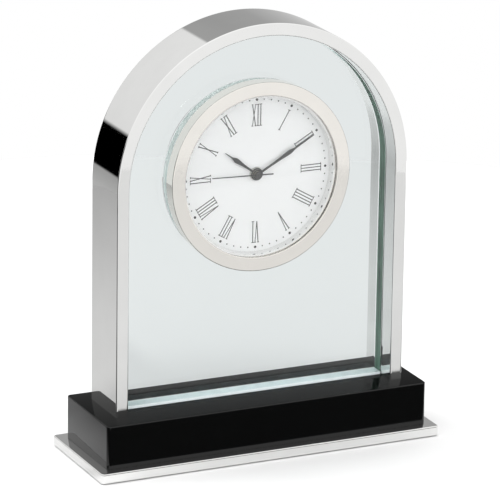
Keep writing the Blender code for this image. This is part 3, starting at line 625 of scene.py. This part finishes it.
def make_dial():
    plate = prism(circle(DIAL_RADIUS, ROUND), DIAL_FRONT, DIAL_BACK, [circle(3.0, 48)])
    in_insert("dial_plate", [plate], "dial_white", "insert", ["dial"])
    ink = []
    face = DIAL_FRONT - 0.002
    for hour, text in enumerate(HOURS):
        for outline, top in numeral(text):
            ink.append(prism(turn_clockwise(outline, 30.0 * hour), face - top, face))
    in_insert("hour_numerals", ink, "dial_ink", "insert")
    dots = []
    for minute in range(60):
        radius = 0.58 if minute % 5 == 0 else 0.3
        x, z = turn_clockwise([(0.0, DOT_RING)], 6.0 * minute)[0]
        dots.append(prism(circle(radius, 20, (x, z)), face - 0.03, face))
    in_insert("minute_dots", dots, "dial_ink", "insert")


def hand_outline(blade, hub, tail=()):
    """A hand pointing up: blade and tail are (distance, half width) from the hub outwards."""
    right = [(w, r) for r, w in blade]
    left = [(-x, z) for x, z in reversed(right)]
    start = math.degrees(math.asin(blade[0][1] / hub))
    points = right + left
    if not tail:
        sweep = 360 - 2 * start
        return points + [polar(hub, 90 + start + sweep * i / 40) for i in range(1, 40)]
    low = math.degrees(math.asin(tail[0][1] / hub))
    sweep = 180 - start - low
    points += [polar(hub, 90 + start + sweep * i / 20) for i in range(1, 20)]
    points += [(-w, -r) for r, w in tail]
    points += [(w, -r) for r, w in reversed(tail)]
    return points + [polar(hub, -90 + low + sweep * i / 20) for i in range(1, 20)]


def make_hands():
    hour = [(2.6, 0.42), (6.0, 0.5), (8.2, 0.62), (9.8, 0.82), (11.2, 1.02), (12.0, 1.08), (12.6, 1.0),
            (13.2, 0.7), (13.9, 0.42), (14.9, 0.3), (18.4, 0.15)]
    minute = [(2.0, 0.42), (8.0, 0.48), (12.0, 0.6), (14.2, 0.74), (16.0, 0.88), (17.2, 0.92), (18.2, 0.86),
              (19.2, 0.6), (20.0, 0.4), (21.0, 0.3), (30.2, 0.14)]
    blade = prism(hand_outline(hour, 2.7), *HOUR_LAYER, [circle(2.2, 48)])
    in_insert("hand_hours", [blade], "hand_grey", "hour_hand_body", ["hour_hand"], turn=HOUR_ANGLE)
    blade = prism(hand_outline(minute, 2.2), *MINUTE_LAYER, [circle(1.62, 48)])
    in_insert("hand_minutes", [blade], "hand_grey", "minute_hand_body", ["minute_hand"], turn=MINUTE_ANGLE)
    second = hand_outline([(1.5, 0.26), (21.8, 0.18)], 1.6, [(1.5, 0.26), (7.2, 0.3)])
    blade = prism(second, *SECOND_LAYER)
    cap = lathe([(0.02, -8.74), (0.5, -8.74), (0.6, -8.68), (0.78, -8.68), (0.88, -8.78), (1.2, -8.78),
                 (1.4, -8.68), (1.45, -8.5), (1.45, -8.3), (0.02, -8.3)], 64)
    in_insert("hand_seconds", [blade, cap], "hand_grey", "second_hand_body", ["second_hand"],
              turn=SECOND_ANGLE)


# Back of the insert

BATTERY = (-16.5, 14.0)
KNOB = (-15.17, -7.07)
CUP_SCREWS = ((19.5, 17.0), (19.5, -17.0), (-21.0, -19.0))


def cut(piece, shapes):
    """Cut shapes out of a piece for good, with an exact Boolean."""
    mesh = joined_mesh("cutter", shapes)
    cutter = bpy.data.objects.new("cutter", mesh)
    bpy.context.scene.collection.objects.link(cutter)
    cutter.location = piece.location
    boolean = piece.modifiers.new("cut", "BOOLEAN")
    boolean.operation = "DIFFERENCE"
    boolean.solver = "EXACT"
    boolean.object = cutter
    bpy.context.view_layer.update()
    evaluated = piece.evaluated_get(bpy.context.evaluated_depsgraph_get())
    result = bpy.data.meshes.new_from_object(evaluated)
    piece.modifiers.clear()
    piece.data = result
    bpy.data.objects.remove(cutter, do_unlink=True)
    tidy_shading(result)


def back_place(cx, cz):
    return lambda a, b, h: (cx + a, h, cz + b)


def arrow_arc(radius, start, end, width, y0, y1, centre):
    """A raised arc with an arrow head, on the back of the case."""
    steps = 24
    angles = [start + (end - start) * i / steps for i in range(steps + 1)]
    outline = [polar(radius + width / 2, a) for a in angles]
    tip = polar(radius, end + math.copysign(14.0, end - start))
    outline += [polar(radius + width * 1.6, end), tip, polar(radius - width * 1.6, end)]
    outline += [polar(radius - width / 2, a) for a in reversed(angles)]
    return prism([(centre[0] + x, centre[1] + z) for x, z in outline], y0, y1)


def make_back():
    groove = [(33.6, 9.97), (33.4, 9.7), (33.0, 9.7), (32.8, 9.97)]
    profile = [(0.02, 8.5), (37.5, 8.5), (37.5, -5.2), (39.0, -5.2), (39.0, 8.7)]
    profile += [(39.0 - dr, 10.0 - dy) for dr, dy in fillet(1.2, 5)]
    profile += [(r, 10.0 if y > 9.9 else y) for r, y in groove] + [(0.02, 10.0)]
    cup = in_insert("case_back", [lathe(profile, 144)], "case_plastic", "insert", ["case_cup"])
    holes = [prism(circle(6.6, 64, BATTERY), 7.0, 12.0), prism(circle(1.3, 32, KNOB), 7.0, 12.0)]
    for axis in CUP_SCREWS:
        holes.append(prism(circle(1.2, 32, axis), 7.0, 9.3))
        holes.append(prism(circle(2.3, 32, axis), 9.1, 12.0))
    cut(cup, holes)

    x, z = BATTERY
    rails = []
    for side in (-1, 1):
        edge = x + side * 8.5
        wall = slab(1.3, 17.0, 0.3, 9.5, 12.4, 0.25, back_place(edge + side * 0.95, z))
        lip = slab(2.2, 16.6, 0.3, 11.6, 12.38, 0.2, back_place(edge + side * 0.1, z))
        rails += [wall, lip]
    rails.append(slab(17.0, 1.2, 0.3, 9.6, 11.3, 0.2, back_place(x, z - 9.4)))
    in_insert("door_rails", rails, "case_plastic", "insert")
    arrow = arrow_arc(8.4, 215.0, 320.0, 0.5, 9.98, 10.2, KNOB)
    in_insert("setting_arrows", [arrow], "case_plastic", "insert")

    ridges = []
    for dz in (-4.0, -2.0, 0.0, 2.0, 4.0):
        ridges.append(slab(12.6, 1.0, 0.48, 11.0, 11.8, 0.3, back_place(0.0, dz)))
    door = slab(17.0, 17.0, 0.8, 10.3, 11.3, 0.25, back_place(0.0, 0.0))
    in_insert("door_panel", [door] + ridges, "case_plastic", "battery_door_body", ["battery_door"],
              axis=BATTERY)

    ribs = [(39.3, -1.6), (40.5, -1.6)]
    for y in (-1.2, 0.4, 2.0):
        ribs += [(40.9, y - 0.12), (40.9, y + 0.12)]
        if y < 2.0:
            ribs += [(40.35, y + 0.45), (40.3, y + 0.8), (40.35, y + 1.15)]
    ribs += [(40.5, 2.4), (39.3, 2.4)]
    in_insert("grip_ring", [lathe(ribs, 144)], "rubber", "insert", ["grip_gasket"])


# Stage, light and camera

FLOOR_RADIUS = 460.0
FLOOR_SIDES = 96
STUDIO_SCALE = 1.5              # a ramp's white stands for this brightness
STUDIO_LIFT = 1.65              # added to the brightness for what the studio lights, not for mirrors
FLOOR_MIRRORED = 0.95           # share of the tables below that mirrors see of the floor
# Brightness of the studio by elevation, in degrees, behind the clock and in front of it
BEHIND_LEFT = [(-90, 0.9), (-19, 0.66), (-16, 0.45), (-11.2, 0.36), (-10.7, 0.0), (4.0, 0.0), (4.5, 0.80),
               (34, 0.85), (45, 1.0), (90, 1.15)]
BEHIND_RIGHT = [(-90, 0.8), (-14, 0.80), (-10, 0.66), (-5, 0.58), (3, 0.50), (11, 0.42), (14, 0.38),
                (24, 0.36), (32, 0.40), (40, 0.95), (90, 1.15)]
IN_FRONT = [(-90, 0.95), (0, 0.95), (20, 1.0), (90, 1.15)]
SIDE_SCREEN = [(-90, 0.04), (8, 0.04), (14, 1.0), (90, 1.15)]
SEEN_THROUGH = [(-90, 0.8), (10, 0.8), (90, 0.9)]
# Painted light and shade in the floor's colour as mirrors see it: brightness by azimuth from straight
# behind, far from the clock and near it
FLOOR_AROUND = [(-180, 0.74), (-138, 0.74), (-126, 0.03), (-64, 0.03), (-52, 0.5), (-8, 0.5), (4, 0.73),
                (75, 0.73), (110, 0.74), (180, 0.74)]
FLOOR_NEAR = [(-180, 0.66), (-100, 0.66), (-92, 0.98), (-57, 0.98), (-50, 0.66), (180, 0.66)]
# The same painted light and shade by distance behind to the left, and a painted dark strip and bright band
# in front by Y, both in metres
FLOOR_BEHIND_LEFT = [(0, 0.66), (0.12, 0.66), (0.25, 0.56), (0.36, 0.44), (0.5, 0.3)]
FLOOR_IN_FRONT = [(-0.2, 1.0), (-0.0885, 1.0), (-0.086, 0.04), (-0.0405, 0.04), (-0.0385, 1.7), (-0.02, 1.7),
                  (-0.01, 1.0)]
FLOOR_SEEN = [(0, 0.565), (1, 0.575)]       # what the camera sees, by noise


def make_floor():
    """White paper as the camera sees it; mirrors and glass see it dimmer, with painted light and shade by
    direction and distance.
    """
    mesh = bpy.data.meshes.new("floor")
    rim = [(x * MM, y * MM, 0.0) for x, y in circle(FLOOR_RADIUS, FLOOR_SIDES)]
    mesh.from_pydata(rim, [], [list(range(FLOOR_SIDES))])
    floor = bpy.data.objects.new("floor", mesh)
    bpy.context.scene.collection.objects.link(floor)
    paint = Finish("floor_paper_painted_light", (0.9, 0.9, 0.9), 0.0, 0.7)
    tree = paint.tree
    split = tree.nodes.new("ShaderNodeSeparateXYZ")
    tree.links.new(paint.vector, split.inputs["Vector"])
    azimuth = degrees_of(tree, "ARCTAN2", split.outputs["X"], split.outputs["Y"])
    far_x = math_node(tree, "POWER", split.outputs["X"], 2.0)
    far_y = math_node(tree, "POWER", split.outputs["Y"], 2.0)
    distance = math_node(tree, "POWER", math_node(tree, "ADD", far_x, far_y), 0.5)
    around = ramp_node(tree, azimuth, FLOOR_AROUND, -180.0, 180.0, 1.0)
    outwards = ramp_node(tree, distance, FLOOR_BEHIND_LEFT, 0.0, 0.5, 1.0)
    near = ramp_node(tree, azimuth, FLOOR_NEAR, -180.0, 180.0, 1.0)
    sector = math_node(tree, "MULTIPLY", smooth_step(tree, azimuth, -56.0, -46.0),
                       math_node(tree, "SUBTRACT", 1.0, smooth_step(tree, azimuth, -8.0, 4.0)))
    spread = blend_node(tree, smooth_step(tree, distance, 0.085, 0.15), near, around)
    across = ramp_node(tree, split.outputs["Y"], FLOOR_IN_FRONT, -0.2, 0.0, 2.0)
    mirrored = math_node(tree, "MULTIPLY", blend_node(tree, sector, spread, outwards), across)
    mirrored = math_node(tree, "MULTIPLY", mirrored, FLOOR_MIRRORED)
    seen = ramp_node(tree, paint.noise(40.0), FLOOR_SEEN, 0.0, 1.0, 1.0)
    path = tree.nodes.new("ShaderNodeLightPath")
    # Painted light and shade: mirrors and glass see the painted floor colour, the camera sees the plain
    # paper colour.
    colour = blend_node(tree, path.outputs["Is Camera Ray"], mirrored, seen)
    tree.links.new(colour, paint.shader.inputs["Base Color"])
    mesh.materials.append(paint.material)


def ramp_node(tree, source, stops, low=-90.0, high=90.0, scale=STUDIO_SCALE):
    """Brightness by a value, from (value, brightness) stops between low and high, as a share of scale."""
    node = tree.nodes.new("ShaderNodeValToRGB")
    ramp = node.color_ramp
    ramp.interpolation = "LINEAR"
    while len(ramp.elements) > 1:
        ramp.elements.remove(ramp.elements[-1])
    for index, (at, value) in enumerate(stops):
        position = (at - low) / (high - low)
        element = ramp.elements[0] if index == 0 else ramp.elements.new(position)
        element.position = position
        element.color = (value / scale, value / scale, value / scale, 1.0)
    spread = tree.nodes.new("ShaderNodeMapRange")
    spread.inputs["From Min"].default_value = low
    spread.inputs["From Max"].default_value = high
    tree.links.new(source, spread.inputs["Value"])
    tree.links.new(spread.outputs["Result"], node.inputs["Fac"])
    return node.outputs["Color"]


def math_node(tree, operation, *values):
    node = tree.nodes.new("ShaderNodeMath")
    node.operation = operation
    for socket, value in zip(node.inputs, values):
        if isinstance(value, (int, float)):
            socket.default_value = value
        else:
            tree.links.new(value, socket)
    return node.outputs["Value"]


def degrees_of(tree, operation, *values):
    return math_node(tree, "MULTIPLY", math_node(tree, operation, *values), 180.0 / math.pi)


def blend_node(tree, factor, a, b):
    node = tree.nodes.new("ShaderNodeMix")
    node.data_type = "RGBA"
    tree.links.new(factor, node.inputs["Factor"])
    tree.links.new(a, node.inputs["A"])
    tree.links.new(b, node.inputs["B"])
    return node.outputs["Result"]


def smooth_step(tree, source, start, end):
    node = tree.nodes.new("ShaderNodeMapRange")
    node.interpolation_type = "SMOOTHSTEP"
    node.inputs["From Min"].default_value = start
    node.inputs["From Max"].default_value = end
    tree.links.new(source, node.inputs["Value"])
    return node.outputs["Result"]


def make_world():
    """A soft white studio with the darker backdrop edges that the polished metal mirrors.

    The camera sees plain white, and glass shows a plain backdrop.
    """
    world = bpy.data.worlds.new("studio")
    bpy.context.scene.world = world
    world.use_nodes = True
    tree = world.node_tree
    tree.nodes.clear()
    place = tree.nodes.new("ShaderNodeTexCoord")
    split = tree.nodes.new("ShaderNodeSeparateXYZ")
    tree.links.new(place.outputs["Generated"], split.inputs["Vector"])
    azimuth = degrees_of(tree, "ARCTAN2", split.outputs["X"], split.outputs["Y"])
    elevation = degrees_of(tree, "ARCSINE", split.outputs["Z"])
    left = ramp_node(tree, elevation, BEHIND_LEFT)
    right = ramp_node(tree, elevation, BEHIND_RIGHT)
    front = ramp_node(tree, elevation, IN_FRONT)
    screen = ramp_node(tree, elevation, SIDE_SCREEN)
    behind = blend_node(tree, smooth_step(tree, azimuth, 5.0, 6.5), left, right)
    side = smooth_step(tree, math_node(tree, "ABSOLUTE", azimuth), 40.0, 58.0)
    around = blend_node(tree, side, behind, front)
    screened = math_node(tree, "MULTIPLY", smooth_step(tree, azimuth, -138.0, -126.0),
                         math_node(tree, "SUBTRACT", 1.0, smooth_step(tree, azimuth, -64.0, -52.0)))
    whole = blend_node(tree, screened, around, screen)
    path = tree.nodes.new("ShaderNodeLightPath")
    plainly = ramp_node(tree, elevation, SEEN_THROUGH)
    through = blend_node(tree, side, plainly, front)
    whole = blend_node(tree, path.outputs["Is Transmission Ray"], whole, through)
    light = tree.nodes.new("ShaderNodeBackground")
    lit = math_node(tree, "MINIMUM", path.outputs["Diffuse Depth"], 1.0)
    tree.links.new(math_node(tree, "MULTIPLY_ADD", lit, STUDIO_LIFT, STUDIO_SCALE), light.inputs["Strength"])
    tree.links.new(whole, light.inputs["Color"])
    plain = tree.nodes.new("ShaderNodeBackground")
    plain.inputs["Color"].default_value = (1.0, 1.0, 1.0, 1.0)
    plain.inputs["Strength"].default_value = 1.0
    choose = tree.nodes.new("ShaderNodeMixShader")
    tree.links.new(path.outputs["Is Camera Ray"], choose.inputs["Fac"])
    tree.links.new(light.outputs["Background"], choose.inputs[1])
    tree.links.new(plain.outputs["Background"], choose.inputs[2])
    output = tree.nodes.new("ShaderNodeOutputWorld")
    tree.links.new(choose.outputs["Shader"], output.inputs["Surface"])


def make_light(name, place, size, power):
    lamp = bpy.data.lights.new(name, "AREA")
    lamp.shape = "DISK"
    lamp.size = size
    lamp.energy = power
    made = bpy.data.objects.new(name, lamp)
    made.location = place
    aim = Vector((0.0, 0.0, 0.1)) - Vector(place)
    made.rotation_euler = aim.to_track_quat("-Z", "Y").to_euler()
    made.visible_glossy = False
    bpy.context.scene.collection.objects.link(made)


def make_camera():
    """A long lens to the left of the front and above it, fitted to the photograph."""
    place = (-0.75381, -1.59910, 0.64115)
    azimuth = math.radians(-25.244)
    elevation = math.radians(17.351)
    roll = math.radians(0.866)
    back = Vector((math.sin(azimuth) * math.cos(elevation), -math.cos(azimuth) * math.cos(elevation),
                   math.sin(elevation)))
    right = Vector((math.cos(azimuth), math.sin(azimuth), 0.0))
    up = back.cross(right)
    level_right = right * math.cos(roll) + up * math.sin(roll)
    level_up = up * math.cos(roll) - right * math.sin(roll)
    data = bpy.data.cameras.new("camera")
    data.lens = 304.25
    data.sensor_width = 36.0
    data.clip_end = 20.0
    camera = bpy.data.objects.new("camera", data)
    turn = Matrix((level_right, level_up, back)).transposed().to_4x4()
    camera.matrix_world = Matrix.Translation(place) @ turn
    bpy.context.scene.collection.objects.link(camera)
    bpy.context.scene.camera = camera


make_camera()
make_floor()
make_world()
make_light("key", (-0.9, 0.5, 1.3), 0.9, 14.0)
make_base()
make_arch()
make_glass()
make_bezel()
make_dial()
make_hands()
make_back()
for node, finish in NODE_FINISH.items():
    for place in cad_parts[node].material_slots:
        place.material = MATERIALS[finish]
bpy.context.scene.view_settings.view_transform = "Standard"
